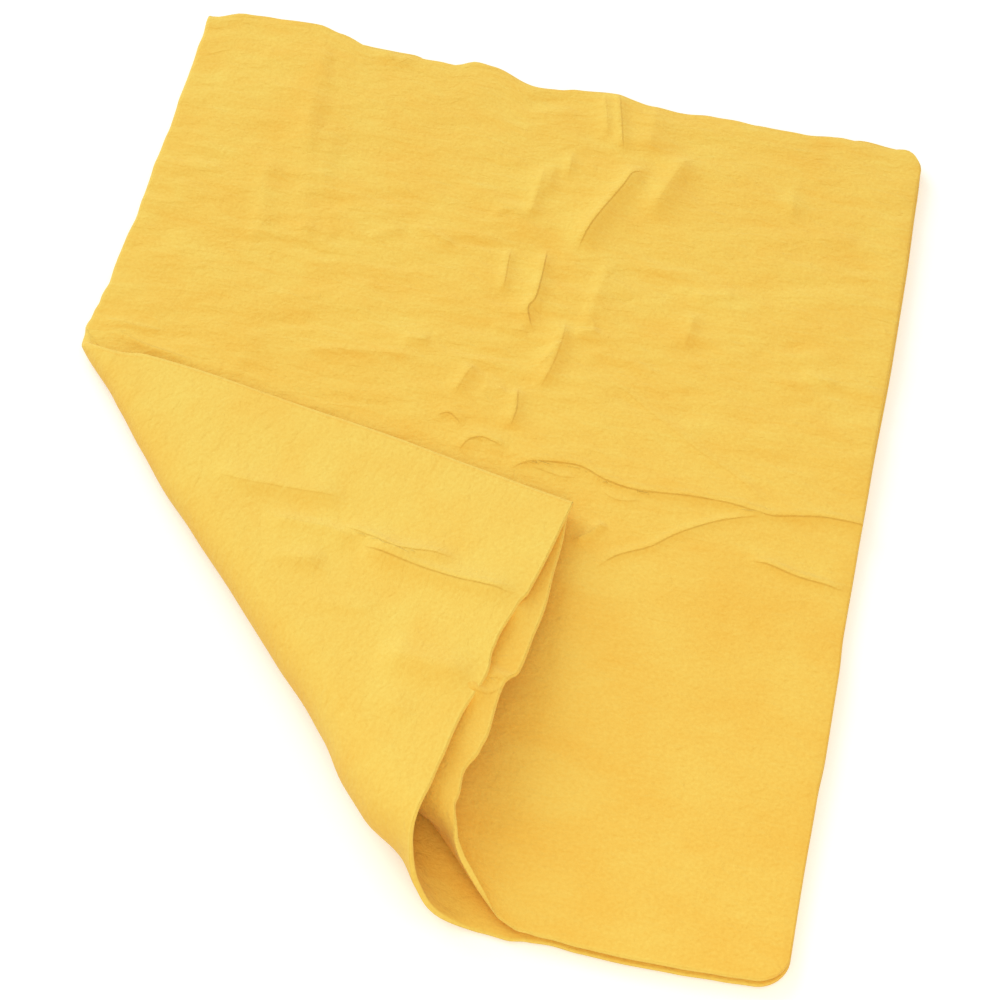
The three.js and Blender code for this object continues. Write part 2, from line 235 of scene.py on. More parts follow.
def grown(value, span):
    """0 up to the start of a span, rising evenly to 1 at its end."""
    return smooth((value - span[0]) / (span[1] - span[0]))


def faded(value, span):
    """1 up to the start of a span, falling evenly to 0 at its end."""
    return smooth((span[1] - value) / (span[1] - span[0]))


def eased(places, at):
    """Offset at a place, with even steps between the given places."""
    x, y = np.array(places, float).T
    at = np.clip(at, x[0], x[-1])
    cell = np.clip(np.searchsorted(x, at, side="right") - 1, 0, len(x) - 2)
    share = smooth((at - x[cell]) / (x[cell + 1] - x[cell]))
    return y[cell] + (y[cell + 1] - y[cell]) * share


def ripple(x, y, humps):
    """Soft even unevenness between -1 and 1."""
    width, length, start, draw = humps
    heights = np.random.default_rng(draw).uniform(-1.0, 1.0, (DRAWS, DRAWS))
    x, y = x / width + start, y / length
    column, row = np.floor(x).astype(int), np.floor(y).astype(int)
    along, up = smooth(x - column), smooth(y - row)

    def level(row):
        left, right = heights[row % DRAWS, column % DRAWS], heights[row % DRAWS, (column + 1) % DRAWS]
        return left * (1 - along) + right * along

    return level(row) * (1 - up) + level(row + 1) * up


def curved(points):
    """A smooth line through a few points."""
    points = np.array(points, float)
    ends = np.vstack([2 * points[0] - points[1], points, 2 * points[-1] - points[-2]])
    line = []
    for a, b, c, d in zip(ends[:-3], ends[1:-2], ends[2:-1], ends[3:]):
        for t in np.linspace(0.0, 1.0, LINE_STEPS, endpoint=False):
            line.append(b + 0.5 * t * (c - a + t * (2 * a - 5 * b + 4 * c - d + t * (3 * (b - c) + d - a))))
    return np.array(line + [points[-1]])


def beside(x, y, points, reach):
    """Sheet points near a line: numbers, distance, side (positive left) and share of its height there."""
    line = curved(points)
    low, high = line.min(axis=0) - reach, line.max(axis=0) + reach
    near = np.flatnonzero((x > low[0]) & (x < high[0]) & (y > low[1]) & (y < high[1]))
    px, py = x[near], y[near]
    size = np.linalg.norm(np.diff(line, axis=0), axis=1)
    before = np.concatenate([[0.0], np.cumsum(size)])
    nearest, side, share = np.full(px.shape, np.inf), np.zeros(px.shape), np.zeros(px.shape)
    for index in range(len(size)):
        start, run = line[index], (line[index + 1] - line[index]) / size[index]
        along = np.clip((px - start[0]) * run[0] + (py - start[1]) * run[1], 0.0, size[index])
        dx, dy = px - start[0] - along * run[0], py - start[1] - along * run[1]
        apart = np.hypot(dx, dy)
        closer = apart < nearest
        nearest = np.where(closer, apart, nearest)
        side = np.where(closer, run[0] * dy - run[1] * dx, side)
        share = np.where(closer, (before[index] + along) / before[-1], share)
    fade = min(LARGEST_FADE, WRINKLE_FADE / before[-1])
    return near, nearest, side, smooth(np.minimum(share, 1 - share) / fade)


def raised(x, y, wrinkles):
    """Height of wrinkles over the sheet: each falls off to both sides and dies out at its ends."""
    total = np.zeros(x.shape)
    for points, height, left, right, _ in wrinkles:
        near, apart, side, share = beside(x, y, points, WRINKLE_REACH * max(left, right))
        total[near] += height * share * np.exp(-((apart / np.where(side > 0, left, right)) ** WRINKLE_FALL))
    return total


def crease(x, y, wrinkles):
    """Distance to the nearest wrinkle's line, positive on its gentle side, and the sheet's step there."""
    apart, best = np.full(x.shape, CREASE_REACH), np.full(x.shape, 2 * CREASE_REACH)
    step = np.zeros(x.shape)
    for points, height, left, right, sharpness in wrinkles:
        near, distance, side, share = beside(x, y, points, CREASE_REACH)
        gentle = (side > 0) == (left > right)
        rank = np.where(gentle, distance, 2 * distance)
        closer = rank < best[near]
        near, distance, gentle, share = near[closer], distance[closer], gentle[closer], share[closer]
        best[near] = rank[closer]
        apart[near] = np.where(gentle, distance, -distance)
        shown = np.where(gentle, faded(distance, GENTLE_FADE), faded(distance, STEEP_FADE))
        step[near] = height * sharpness * shown * share
    return apart, step


class ClothForm:
    """Where each point of the flat sheet lies once it is folded, in mm.

    A sheet point has x from the half fold, y from the bottom edge, and a depth behind the back half's
    outer face.
    """

    # How far from the roll the relief, the edges' offsets and those of the half fold have their full size
    RELIEF_FADE = 16.0
    EDGE_FADE = 10.0
    FOLD_FADE = 4.0
    # How far the edges' offsets reach into the sheet
    TOP_REACH = 70.0
    PARTED_REACH = 25.0
    HALF_FOLD_REACH = 130.0
    FREE_REACH = 50.0
    BOTTOM_REACH = 40.0
    CORNER_FOLD_REACH = 40.0
    CORNER_OUTER_REACH = 25.0
    # Share of the parted top edge that the back half takes, and the front half's step at the bottom edge
    BACK_PARTED = 0.65
    BOTTOM_STEP = 0.8
    # Small waves of the top edge and the half fold: height, where they grow, and reach from the half fold
    WAVE_HEIGHT = 0.35
    WAVES = (240.0, 260.0)
    WAVES_REACH = 20.0
    # How far the streaks of the front half are bent, and where they grow
    STREAK_BEND = 5.0
    UPPER = (180.0, 240.0)
    # Where the inner layer sags beside the corner's tip: along the edge, and how deep into the corner
    SAG_RISE = (6.0, 26.0)
    SAG_FALL = (79.0, 83.0)
    SAG_DEPTH = 40.0
    # Half the pinched stretch below the turn on the half fold, and how far its pull reaches
    PINCHED = 9.0
    PINCH_REACH = 60.0
    # How much thinner free edges are, how far in, and where that ends beside the roll
    RIM_THINNING = 0.7
    RIM_REACH = 3.0
    LIP_FADE = 20.0
    # Half the width of a bend of the roll, and of the band about the front half's lift line
    BEND_REACH = 0.15
    LIFT_REACH = 16.0
    # How far along a straight line the slack goes on past the edge, and the tries to settle the turn
    PAST_EDGE = 1.1
    TURN_TRIES = 50

    def __init__(self, sizes):
        for name in sizes.__annotations__:
            is_length = sizes.bl_rna.properties[name].unit == "LENGTH"
            setattr(self, name, getattr(sizes, name) / (MM if is_length else 1.0))
        self.pitch = self.thickness + self.layer_gap
        self.stack = self.thickness + self.pitch
        self.half_width = (self.sheet_width - math.pi * self.pitch / 2) / 2 - self.layer_gap
        radius = self.stack + self.fold_core_radius
        wide_radius = self.stack + self.mouth_sag + self.mouth_core_radius
        self.turn_length = math.hypot(self.turn_on_fold, self.turn_on_edge)
        self.laid_angle = math.atan2(self.turn_on_edge, self.turn_on_fold)
        self.taper = math.asin((wide_radius - radius) / self.turn_length)
        reach = radius / math.sin(self.taper)
        up = np.array([0.0, 0.0, 1.0])
        fold_line = np.array([math.sin(self.laid_angle), -math.cos(self.laid_angle), 0.0])
        self.inward = np.array([math.cos(self.laid_angle), math.sin(self.laid_angle), 0.0])
        self.apex = np.array([0.0, self.turn_on_fold, 0.0]) - reach * fold_line
        self.axis = math.cos(self.taper) * fold_line + math.sin(self.taper) * up
        self.axis_up = math.cos(self.taper) * up - math.sin(self.taper) * fold_line
        self.full_turn = self.settled_turn()
        self.turned_angle = self.laid_angle - self.full_turn * math.sin(self.taper)
        self.loose_angle = self.laid_angle - self.loose_turn * math.sin(self.taper)
        mouth = reach + self.turn_length
        self.loose_width = self.loose_spread_laid + (self.laid_angle - self.loose_angle) * mouth
        loose_edge = self.turn_on_edge + self.loose_spread_laid / math.cos(self.laid_angle)
        tip = self.place(np.zeros(1), np.zeros(1), 0.0)[0]
        self.lift_line = max(tip[0] + self.inner_slack, loose_edge) + self.lift_clearance
        low, high = (np.array(corner) / MM for corner in CAD_BOX)
        self.origin = np.array([high[0] - self.half_width, high[1] - self.sheet_length, low[2]])

    def ruling(self, turn):
        """The way a straight line of the roll runs, away from the apex."""
        turn = np.asarray(turn, float)[..., None]
        out = np.cos(turn) * self.axis_up + np.sin(turn) * self.inward
        return math.cos(self.taper) * self.axis - math.sin(self.taper) * out

    def across(self, turn):
        """The way the sheet runs on across that line."""
        turn = np.asarray(turn, float)[..., None]
        return np.sin(turn) * self.axis_up - np.cos(turn) * self.inward

    def from_apex(self, x, y):
        """Distance of a sheet point from the apex, and its angle there from the half fold's way."""
        aside, along = x - self.apex[0], self.apex[1] - y
        return np.hypot(aside, along), np.arctan2(aside, along)

    def place(self, x, y, depth, full_turn=None):
        """Place of a sheet point with no wrinkles, at a depth behind the outer face."""
        full_turn = self.full_turn if full_turn is None else full_turn
        distance, angle = self.from_apex(x, y)
        wound = (self.laid_angle - angle) / math.sin(self.taper)
        turn = np.clip(wound, 0.0, full_turn)
        past = ((wound - turn) * math.sin(self.taper))[..., None]
        line, side = self.ruling(turn), self.across(turn)
        depth = np.broadcast_to(depth, distance.shape)[..., None]
        flat = distance[..., None] * (np.cos(past) * line + np.sin(past) * side)
        return self.apex + flat + depth * np.cross(side, line)

    def settled_turn(self):
        """The turn that sets the corner's tip down to its clearance."""
        least, most = math.pi / 2, 3 * math.pi / 2
        origin = np.zeros(1)
        for _ in range(self.TURN_TRIES):
            middle = (least + most) / 2
            if self.place(origin, origin, 0.0, middle)[0, 2] > 2 * self.stack + self.tip_clearance:
                least = middle
            else:
                most = middle
        return (least + most) / 2

    def slackened(self, x, y):
        """The inner layer's sheet point, drawn out along its straight line by the layer's slack."""
        distance, angle = self.from_apex(x, y)
        on_roll = angle < self.laid_angle
        angle = np.where(on_roll, angle, self.laid_angle)
        edge = self.apex[0] + self.apex[1] * np.tan(angle)
        start, end = -self.apex[0] / np.sin(angle), self.apex[1] / np.cos(angle)
        fade = smooth((self.turn_on_edge - edge) / self.slack_fade)
        reach = self.inner_slack * smooth(edge / self.slack_rise) * fade + eased(CORNER_INNER_EDGE, edge)
        share = np.clip((distance - start) / np.maximum(end - start, TINY), 0.0, self.PAST_EDGE)
        further = np.where(on_roll, share * end * reach / self.apex[1], 0.0)
        return x + further * np.sin(angle), y - further * np.cos(angle)

    def looseness(self, x, y):
        """How loosely the inner layer hangs in the outer one: 0 at the half fold, 1 at the roll's mouth."""
        distance, angle = self.from_apex(x, y)
        along = x / np.sin(angle) / self.turn_length
        laid = closeness(distance * np.maximum(angle - self.loose_angle, 0), self.loose_width)
        turned = closeness(distance * np.maximum(self.turned_angle - angle, 0), self.loose_spread_turned)
        return np.maximum(along, 0) * laid * turned

    def laid_relief(self, x, y):
        """Height of the wrinkles in the laid front half."""
        height = raised(x, y, FRONT_WRINKLES)
        upper = grown(y, self.UPPER)
        bent = y + self.STREAK_BEND * ripple(x, y, STREAK_WAVE)
        for low, added, humps in STREAKS:
            height += (low + added * upper) * (1 + ripple(x, bent, humps))
        for swell, humps in FRONT_SWELLS:
            height += swell * (1 + ripple(x, y, humps))
        return np.maximum(height * self.wrinkle_scale, 0.0)

    def corner_relief(self, x, y):
        """Height of the wrinkles in the turned corner."""
        height = raised(x, y, CORNER_WRINKLES)
        for swell, humps in CORNER_SWELLS:
            height += swell * ripple(x, y, humps)
        return height * self.wrinkle_scale

    def past_roll(self, x, y, fade):
        """How far a sheet point lies in the laid part and in the turned corner, with a fade at the roll."""
        distance, angle = self.from_apex(x, y)
        laid = smooth(distance * (angle - self.laid_angle) / fade)
        return laid, smooth(distance * (self.turned_angle - angle) / fade)

    def turn_share(self, x, y):
        """How far round the roll a sheet point lies: 0 in the laid part, 1 in the turned corner."""
        angle = self.from_apex(x, y)[1]
        return smooth((self.laid_angle - angle) / (self.laid_angle - self.turned_angle))

    def bulge(self, x, y):
        """How far the roll's side stands out of its even form, most at its outermost line."""
        distance, angle = self.from_apex(x, y)
        turn = np.clip((self.laid_angle - angle) / math.sin(self.taper), 0.0, math.pi)
        along = distance + self.apex[0] / np.sin(self.laid_angle)
        return eased(ROLL_EDGE, along) * np.sin(turn) ** 2

    def relief(self, x, y, inner):
        """What the wrinkles add to the depth of a layer."""
        laid, turned = self.past_roll(x, y, self.RELIEF_FADE)
        added = -turned * self.corner_relief(x, y) - self.bulge(x, y)
        if not inner:
            return added
        sagging = self.tip_sag * grown(x, self.SAG_RISE) * faded(x, self.SAG_FALL)
        sagging *= closeness(y, self.SAG_DEPTH)
        pleat = raised(x, y, PLEAT_WRINKLES) * self.wrinkle_scale
        return added + turned * (sagging - pleat) + laid * self.laid_relief(x, y)

    def shifted(self, x, y, inner):
        """How far a sheet point is shifted along the sheet, as its uneven edges draw it."""
        laid, turned = self.past_roll(x, y, self.EDGE_FADE)
        folded, _ = self.past_roll(x, y, self.FOLD_FADE)
        from_top, from_free = self.sheet_length - y, self.half_width - x
        top, free, bottom = eased(TOP_EDGE, x), eased(FREE_EDGE, y), eased(BOTTOM_EDGE, x)
        parted = eased(FRONT_TOP_EDGE, x) * closeness(from_top, self.PARTED_REACH)
        if inner:
            top += parted
            free += eased(FRONT_FREE_EDGE, y)
            bottom += self.BOTTOM_STEP
        else:
            top -= self.BACK_PARTED * parted
        waves = self.WAVE_HEIGHT * ripple(x, y, EDGE_HUMPS) * grown(y, self.WAVES)
        top += waves
        across = folded * eased(HALF_FOLD_EDGE, y) * closeness(x, self.HALF_FOLD_REACH)
        across += laid * waves * closeness(x, self.WAVES_REACH)
        across += laid * free * closeness(from_free, self.FREE_REACH)
        across += turned * eased(CORNER_FOLD_EDGE, y) * closeness(x, self.CORNER_FOLD_REACH)
        along = laid * top * closeness(from_top, self.TOP_REACH)
        along += laid * bottom * closeness(y, self.BOTTOM_REACH)
        if not inner:
            along += turned * eased(CORNER_OUTER_EDGE, x) * closeness(y, self.CORNER_OUTER_REACH)
        below = np.abs(self.turn_on_fold - self.PINCHED - y) - self.PINCHED
        slide = self.pinch * closeness(np.hypot(x, np.maximum(below, 0)), self.PINCH_REACH)
        line = np.clip(self.from_apex(x, y)[1], self.turned_angle, self.laid_angle)
        return across + slide * np.sin(line), along - slide * np.cos(line)

    def thinned(self, x, y, depth):
        """Depth in a layer whose free edges are pressed thinner."""
        from_bottom = y + self.RIM_REACH * smooth((self.turn_on_edge - x) / self.LIP_FADE)
        edge = np.minimum(np.minimum(self.half_width - x, from_bottom), self.sheet_length - y)
        return depth + (0.5 - depth / self.thickness) * self.RIM_THINNING * closeness(edge, self.RIM_REACH)

    def outer(self, x, y, depth):
        """Place of a point of the outer layer."""
        dx, dy = self.shifted(x, y, False)
        depth = self.thinned(x, y, depth) + self.relief(x, y, False)
        return self.place(x + dx, y + dy, depth)

    def inner(self, x, y, depth):
        """Place of a point of the inner layer."""
        loose = self.looseness(x, y)
        dx, dy = self.shifted(x, y, True)
        drawn_x, drawn_y = self.slackened(x, y)
        depth = self.pitch + self.mouth_sag * loose + self.thinned(x, y, depth) + self.relief(x, y, True)
        place = self.place(drawn_x + dx, drawn_y + dy, depth)
        return place + (self.mouth_shift * loose)[:, None] * self.inward

    def bend_plane(self, bend, inner):
        """A point of, and the way through, the plane in which one layer of the roll bends."""
        turn = (bend - 0.5) * self.full_turn / BENDS
        way = self.across(turn)
        if not inner:
            return self.apex, way
        angle = self.laid_angle - turn * math.sin(self.taper)
        x = np.array([0.0, self.apex[0] + self.apex[1] * math.tan(angle)])
        y = np.array([self.apex[1] + self.apex[0] / math.tan(angle), 0.0])
        start, end = self.inner(x, y, self.thickness / 2)
        through = np.cross(np.cross(way, self.ruling(turn)), end - start)
        through *= math.copysign(1.0, through @ way) / np.linalg.norm(through)
        return start, through


class SheetNet:
    """The net of one half of the flat sheet: points, cells with the panel that each is in, and edges."""

    FOLD_CELLS = 150
    WIDTH_CELLS = 230
    UPPER_CELLS = 150
    ROLL_CELLS = 8 * BENDS
    EDGE_CELL = 0.8
    # Stretches with finer cells, as shares of the whole: along the fold line, across, and above the turn
    FINE_ON_FOLD = (0.0, 0.32)
    FINE_ACROSS = (0.42, 0.92)
    FINE_ABOVE = (0.0, 0.55)
    FINENESS = 2.0
    FINE_EASE = 0.12
    SAMPLES = 400

    def __init__(self, form):
        self.points, self.count = [], 0
        rows, turns = self.FOLD_CELLS, self.ROLL_CELLS
        above = form.sheet_length - form.turn_on_fold
        fold = self.shares(rows, form.turn_length, self.FINE_ON_FOLD)
        width = self.shares(self.WIDTH_CELLS, form.half_width, self.FINE_ACROSS)
        upper = self.shares(self.UPPER_CELLS, above, self.FINE_ABOVE)

        left = form.turn_on_edge * fold[:, None]
        across = left + (form.half_width - left) * width
        along = np.broadcast_to(form.turn_on_fold * (1 - fold)[:, None], across.shape)
        low = self.add(across, along)
        across, along = np.meshgrid(form.half_width * width, form.turn_on_fold + above * upper[1:])
        high = np.vstack([low[:1], self.add(across, along)])

        angle = form.laid_angle + (form.turned_angle - form.laid_angle) * np.arange(1, turns + 1) / turns
        on_fold = form.apex[1] + form.apex[0] / np.tan(angle)
        on_edge = form.apex[0] + form.apex[1] * np.tan(angle)
        roll = np.hstack([low[:, :1], self.add(on_edge * fold[:, None], on_fold * (1 - fold)[:, None])])

        corner = np.full((rows + 1, rows + 1), -1)
        one, other = np.triu_indices(rows + 1, 1)
        corner[one, other] = self.add(on_edge[-1] * fold[one], on_fold[-1] * (1 - fold[other]))
        corner[np.arange(rows + 1), np.arange(rows + 1)] = roll[:, -1]

        self.xy = self.rounded(np.vstack(self.points), form)
        self.cells = {LAID: self.quads(low) + self.quads(high), CORNER: self.corner_cells(corner)}
        step = turns // BENDS
        for bend in range(1, BENDS + 1):
            self.cells[bend] = self.quads(roll[:, step * (bend - 1):step * bend + 1])
        roll_panels = [1 + column // step for column in range(turns)]
        self.spine = list(high[::-1, 0]) + list(roll[0, 1:]) + list(corner[0, 1:])
        self.spine_panels = [LAID] * self.UPPER_CELLS + roll_panels + [CORNER] * rows
        self.rim = (list(corner[:, -1]) + list(roll[-1, -2::-1]) + list(low[-1, 1:]) + list(low[-2::-1, -1])
                    + list(high[1:, -1]) + list(high[-1, -2::-1]))
        laid_edges = len(self.rim) - 1 - rows - turns
        self.rim_panels = [CORNER] * rows + roll_panels[::-1] + [LAID] * laid_edges
        self.cuts = [(roll[:, step * bend], bend, bend + 1) for bend in range(BENDS + 1)]

    @classmethod
    def shares(cls, cells, length, stretch):
        """Steps from 0 to 1, finer in a stretch with many wrinkles, with a narrow last one at the edge."""
        at = np.linspace(0.0, 1.0, cls.SAMPLES)
        ease = cls.FINE_EASE
        inside = smooth((at - stretch[0] + ease / 2) / ease) * smooth((stretch[1] + ease / 2 - at) / ease)
        fine = 1 + cls.FINENESS * inside
        reached = np.concatenate([[0.0], np.cumsum(fine[1:] + fine[:-1])])
        even = np.interp(np.linspace(0.0, 1.0, cells), reached / reached[-1], at)
        return np.append(even * (1.0 - cls.EDGE_CELL / length), 1.0)

    def add(self, x, y):
        """Numbers of new points."""
        x, y = np.broadcast_arrays(x, y)
        ids = self.count + np.arange(x.size).reshape(x.shape)
        self.points.append(np.stack([x.ravel(), y.ravel()], -1))
        self.count += x.size
        return ids

    @staticmethod
    def quads(ids):
        """Four-sided cells between rows of points."""
        corners = [ids[:-1, :-1], ids[:-1, 1:], ids[1:, 1:], ids[1:, :-1]]
        return np.stack(corners, -1).reshape(-1, 4).tolist()

    @staticmethod
    def corner_cells(ids):
        """Cells of the three-sided corner, with triangles along the roll."""
        cells = []
        for i in range(len(ids) - 1):
            cells.append([ids[i, i], ids[i + 1, i + 1], ids[i, i + 1]])
            for j in range(i + 1, len(ids) - 1):
                cells.append([ids[i, j], ids[i + 1, j], ids[i + 1, j + 1], ids[i, j + 1]])
        return cells

    @staticmethod
    def rounded(xy, form):
        """The net with the sheet's two free corners rounded."""
        radius = form.corner_radius
        right = (xy[:, 0] - form.half_width) / radius + 1
        for way, edge in ((1, form.sheet_length), (-1, 0.0)):
            beyond = way * (xy[:, 1] - edge) / radius + 1
            inside = (right > 0) & (beyond > 0)
            u, v = right[inside], beyond[inside]
            xy[inside, 0] = form.half_width + radius * (u * np.sqrt(1 - v * v / 2) - 1)
            xy[inside, 1] = edge + way * radius * (v * np.sqrt(1 - u * u / 2) - 1)
        return xy


class FoldedSheet:
    """The whole folded sheet as closed pieces that share their points and shading along the cuts."""

    # Steps round the half fold, how far the rim stands out, and where the fold's skew ends above the turn
    TURNS = 8
    RIM = 0.5
    SKEW_FADE = 25.0

    def __init__(self, form):
        self.form = form
        self.net = SheetNet(form)
        self.faces, self.caps = {}, {}
        self.make_points()
        self.make_faces()
        self.normals = np.zeros_like(self.points)
        self.meshes = {name: self.make_mesh(name) for name in self.faces}
        self.normals /= np.linalg.norm(self.normals, axis=1)[:, None]
        for made in self.meshes.values():
            self.shade(*made)

    def make_points(self):
        """Places all points of the folded sheet, and keeps their places on the flat sheet."""
        form, (x, y), thick = self.form, self.net.xy.T, self.form.thickness
        self.groups, self.flat, self.count = [], [], 0
        self.layer = []
        for layer, way in ((form.outer, -1), (form.inner, 1)):
            self.layer += [self.keep(layer(x, y, depth), way * x, y) for depth in (0.0, thick)]
        self.make_fold(*self.net.xy[self.net.spine].T)
        rx, ry = self.net.xy[self.net.rim].T
        tangent = np.stack([np.gradient(rx), np.gradient(ry)], -1)
        tangent /= np.linalg.norm(tangent, axis=1)[:, None]
        rx, ry = rx + self.RIM * tangent[:, 1], ry - self.RIM * tangent[:, 0]
        self.rims = [self.keep(layer(rx, ry, thick / 2), way * rx, ry)
                     for layer, way in ((form.outer, -1), (form.inner, 1))]
        self.points = (np.vstack(self.groups) + form.origin) * MM
        self.mark(*np.vstack(self.flat).T)

    def keep(self, places, x, y):
        """Numbers of points with their places and their places on the flat sheet."""
        self.groups.append(places)
        self.flat.append(np.stack([np.broadcast_to(x, y.shape), y], -1))
        self.count += len(places)
        return np.arange(self.count - len(places), self.count)

    def make_fold(self, x, y):
        """Places the points round the half fold, and those inside it."""
        form, spine = self.form, self.net.spine
        radius, gap = form.stack / 2, form.layer_gap
        angle = form.from_apex(x, y)[1]
        skew = 1 / np.tan(np.clip(angle, form.turned_angle, form.laid_angle))
        skew *= np.where(y > form.turn_on_fold, closeness(y - form.turn_on_fold, self.SKEW_FADE), 1.0)
        skew *= np.where(angle < form.turned_angle, y / y[self.net.spine_panels.index(CORNER)], 1.0)
        dx, dy = form.shifted(x, y, False)
        outer, inner = form.relief(x, y, False), form.relief(x, y, True)

        def bent(out, depth):
            return form.place(x + dx - out, y + dy + out * skew, depth + outer)

        self.bend = [self.layer[0][spine]]
        for turn in range(1, self.TURNS):
            aside = math.pi * (turn / self.TURNS - 0.5)
            raised_share = 0.5 * (1 + math.sin(aside))
            depth = radius * (1 + math.sin(aside)) + raised_share * (inner - outer)
            self.bend.append(self.keep(bent(gap + radius * math.cos(aside), depth), radius * aside, y))
        self.bend.append(self.layer[3][spine])
        self.bend_inside = self.keep(bent(gap, radius), 0.0, y)

    def mark(self, x, y):
        """Keeps each point's place on the flat sheet, turn and nearest crease for the material."""
        form, across = self.form, np.abs(x)
        front = x > 0
        laid, turned = form.past_roll(across, y, form.RELIEF_FADE)
        self.sheet_at = np.stack([x * MM, y * MM, form.turn_share(across, y)], -1)
        self.crease = np.zeros_like(self.sheet_at)
        kinds = ((front & (laid > 0), FRONT_WRINKLES, laid), (front & (turned > 0), PLEAT_WRINKLES, turned),
                 (~front, CORNER_WRINKLES, turned))
        for side, wrinkles, shown in kinds:
            apart, step = crease(across[side], y[side], wrinkles)
            self.crease[side, 0], self.crease[side, 1] = apart * MM, step * shown[side] * MM

    @staticmethod
    def piece(panel, inner):
        """Name of the piece that holds one layer of a panel."""
        if panel == CORNER:
            return "turned_corner"
        if panel == LAID:
            return "laid_front_half" if inner else "laid_back_half"
        return f"roll_inner_bend_{panel}" if inner else f"roll_outer_bend_{panel}"

    def put(self, name, face, cap=False):
        """Adds a face to a piece; a cap closes it where it meets its neighbour."""
        (self.caps if cap else self.faces).setdefault(name, []).append(face)

    def make_faces(self):
        """Shares out the faces of both layers, the half fold, the rims, the ends and the caps."""
        net, layer, bend, half = self.net, self.layer, self.bend, self.TURNS // 2
        for panel, cells in net.cells.items():
            for index in range(4):
                first = int(layer[index][0])
                moved = [[first + int(point) for point in cell] for cell in cells]
                self.faces.setdefault(self.piece(panel, index > 1), []).extend(moved)
        lower, upper, inside = layer[1][net.spine], layer[2][net.spine], self.bend_inside
        for s, panel in enumerate(net.spine_panels):
            for turn in range(self.TURNS):
                near, far = bend[turn], bend[turn + 1]
                self.put(self.piece(panel, turn >= half), [near[s], near[s + 1], far[s + 1], far[s]])
            self.put(self.piece(panel, False), [lower[s], lower[s + 1], inside[s + 1], inside[s]])
            self.put(self.piece(panel, True), [inside[s], inside[s + 1], upper[s + 1], upper[s]])
            if panel != CORNER:
                wall = [bend[half][s], bend[half][s + 1], inside[s + 1], inside[s]]
                self.put(self.piece(panel, False), wall, True)
                self.put(self.piece(panel, True), wall, True)
        for e, panel in enumerate(net.rim_panels):
            near, far = net.rim[e], net.rim[e + 1]
            for inner, rim in enumerate(self.rims):
                for side in (layer[2 * inner], layer[2 * inner + 1]):
                    self.put(self.piece(panel, inner), [side[near], side[far], rim[e + 1], rim[e]])
        for s, e, panel in ((0, -1, LAID), (-1, 0, CORNER)):
            for inner in (False, True):
                self.put(self.piece(panel, inner), self.section(s, e, inner))
        for line, before, after in net.cuts:
            s, e = net.spine.index(line[0]), net.rim.index(line[-1])
            for inner in (False, True):
                for panel in (before, after):
                    for face in self.cut_wall(line, s, e, inner):
                        self.put(self.piece(panel, inner), face, True)

    def section(self, s, e, inner):
        """The end of the half fold, from its middle to the rim of one layer."""
        half, node = self.TURNS // 2, self.net.spine[s]
        turns = range(half, self.TURNS + 1) if inner else range(half, -1, -1)
        arc = [self.bend[turn][s] for turn in turns]
        return [self.bend_inside[s], *arc, self.rims[inner][e], self.layer[2 if inner else 1][node]]

    def cut_wall(self, line, s, e, inner):
        """The wall through one layer where a piece ends along a straight line of the roll."""
        out, back = (self.layer[3], self.layer[2]) if inner else (self.layer[0], self.layer[1])
        walls = [[out[a], out[b], back[b], back[a]] for a, b in zip(line[:-1], line[1:])]
        walls.append([out[line[-1]], self.rims[inner][e], back[line[-1]]])
        section = self.section(s, e, inner)
        walls.append([section[0], *section[1:-2], section[-1]])
        return walls

    def make_mesh(self, name):
        """One closed piece; its shading is gathered at the points that it shares with its neighbours."""
        faces = self.faces[name] + self.caps.get(name, [])
        sizes = np.array([len(face) for face in faces])
        ids, local = np.unique(np.concatenate(faces), return_inverse=True)
        ends = np.cumsum(sizes)
        loops = [local[end - size:end].tolist() for end, size in zip(ends, sizes)]
        mesh = bpy.data.meshes.new(name)
        mesh.from_pydata(self.points[ids], [], loops)
        shell = bmesh.new()
        shell.from_mesh(mesh)
        bmesh.ops.recalc_face_normals(shell, faces=shell.faces)
        shell.to_mesh(mesh)
        shell.free()
        normal, area = np.empty(3 * len(faces)), np.empty(len(faces))
        mesh.polygons.foreach_get("normal", normal)
        mesh.polygons.foreach_get("area", area)
        normal = np.repeat(normal.reshape(-1, 3), sizes, axis=0)
        corner = np.empty(len(mesh.loops), int)
        mesh.loops.foreach_get("vertex_index", corner)
        seen = ends[len(self.faces[name]) - 1]
        np.add.at(self.normals, ids[corner[:seen]], (normal * np.repeat(area, sizes)[:, None])[:seen])
        for kind, values in (("sheet_at", self.sheet_at), ("crease", self.crease)):
            attribute = mesh.attributes.new(kind, "FLOAT_VECTOR", "POINT")
            attribute.data.foreach_set("vector", values[ids].astype(np.float32).ravel())
        return mesh, ids, corner, normal, seen

    def shade(self, mesh, ids, corner, normal, seen):
        """Shades a piece as part of the whole sheet, so that no cut shows."""
        normal[:seen] = self.normals[ids[corner[:seen]]]
        mesh.normals_split_custom_set(normal)

    def cut(self, panel, inner):
        """Flat area of a panel's cut in one layer, in square metres."""
        x, y = self.net.xy.T
        if inner:
            x, y = self.form.slackened(x, y)
        total = 0.0
        for cell in self.net.cells[panel]:
            cx, cy = x[cell], y[cell]
            total += abs(np.dot(cx, np.roll(cy, -1)) - np.dot(cy, np.roll(cx, -1))) / 2
        return total * MM * MM

    def in_row(self, point):
        """A place of the folded cloth in the frame."""
        return Vector((np.asarray(point) + self.form.origin) * MM)

    def show(self, name, material):
        """Puts one piece into the scene."""
        obj = bpy.data.objects.new(name, self.meshes[name][0])
        bpy.context.scene.collection.objects.link(obj)
        obj.data.materials.append(material)
        return obj


SHEETS = {}


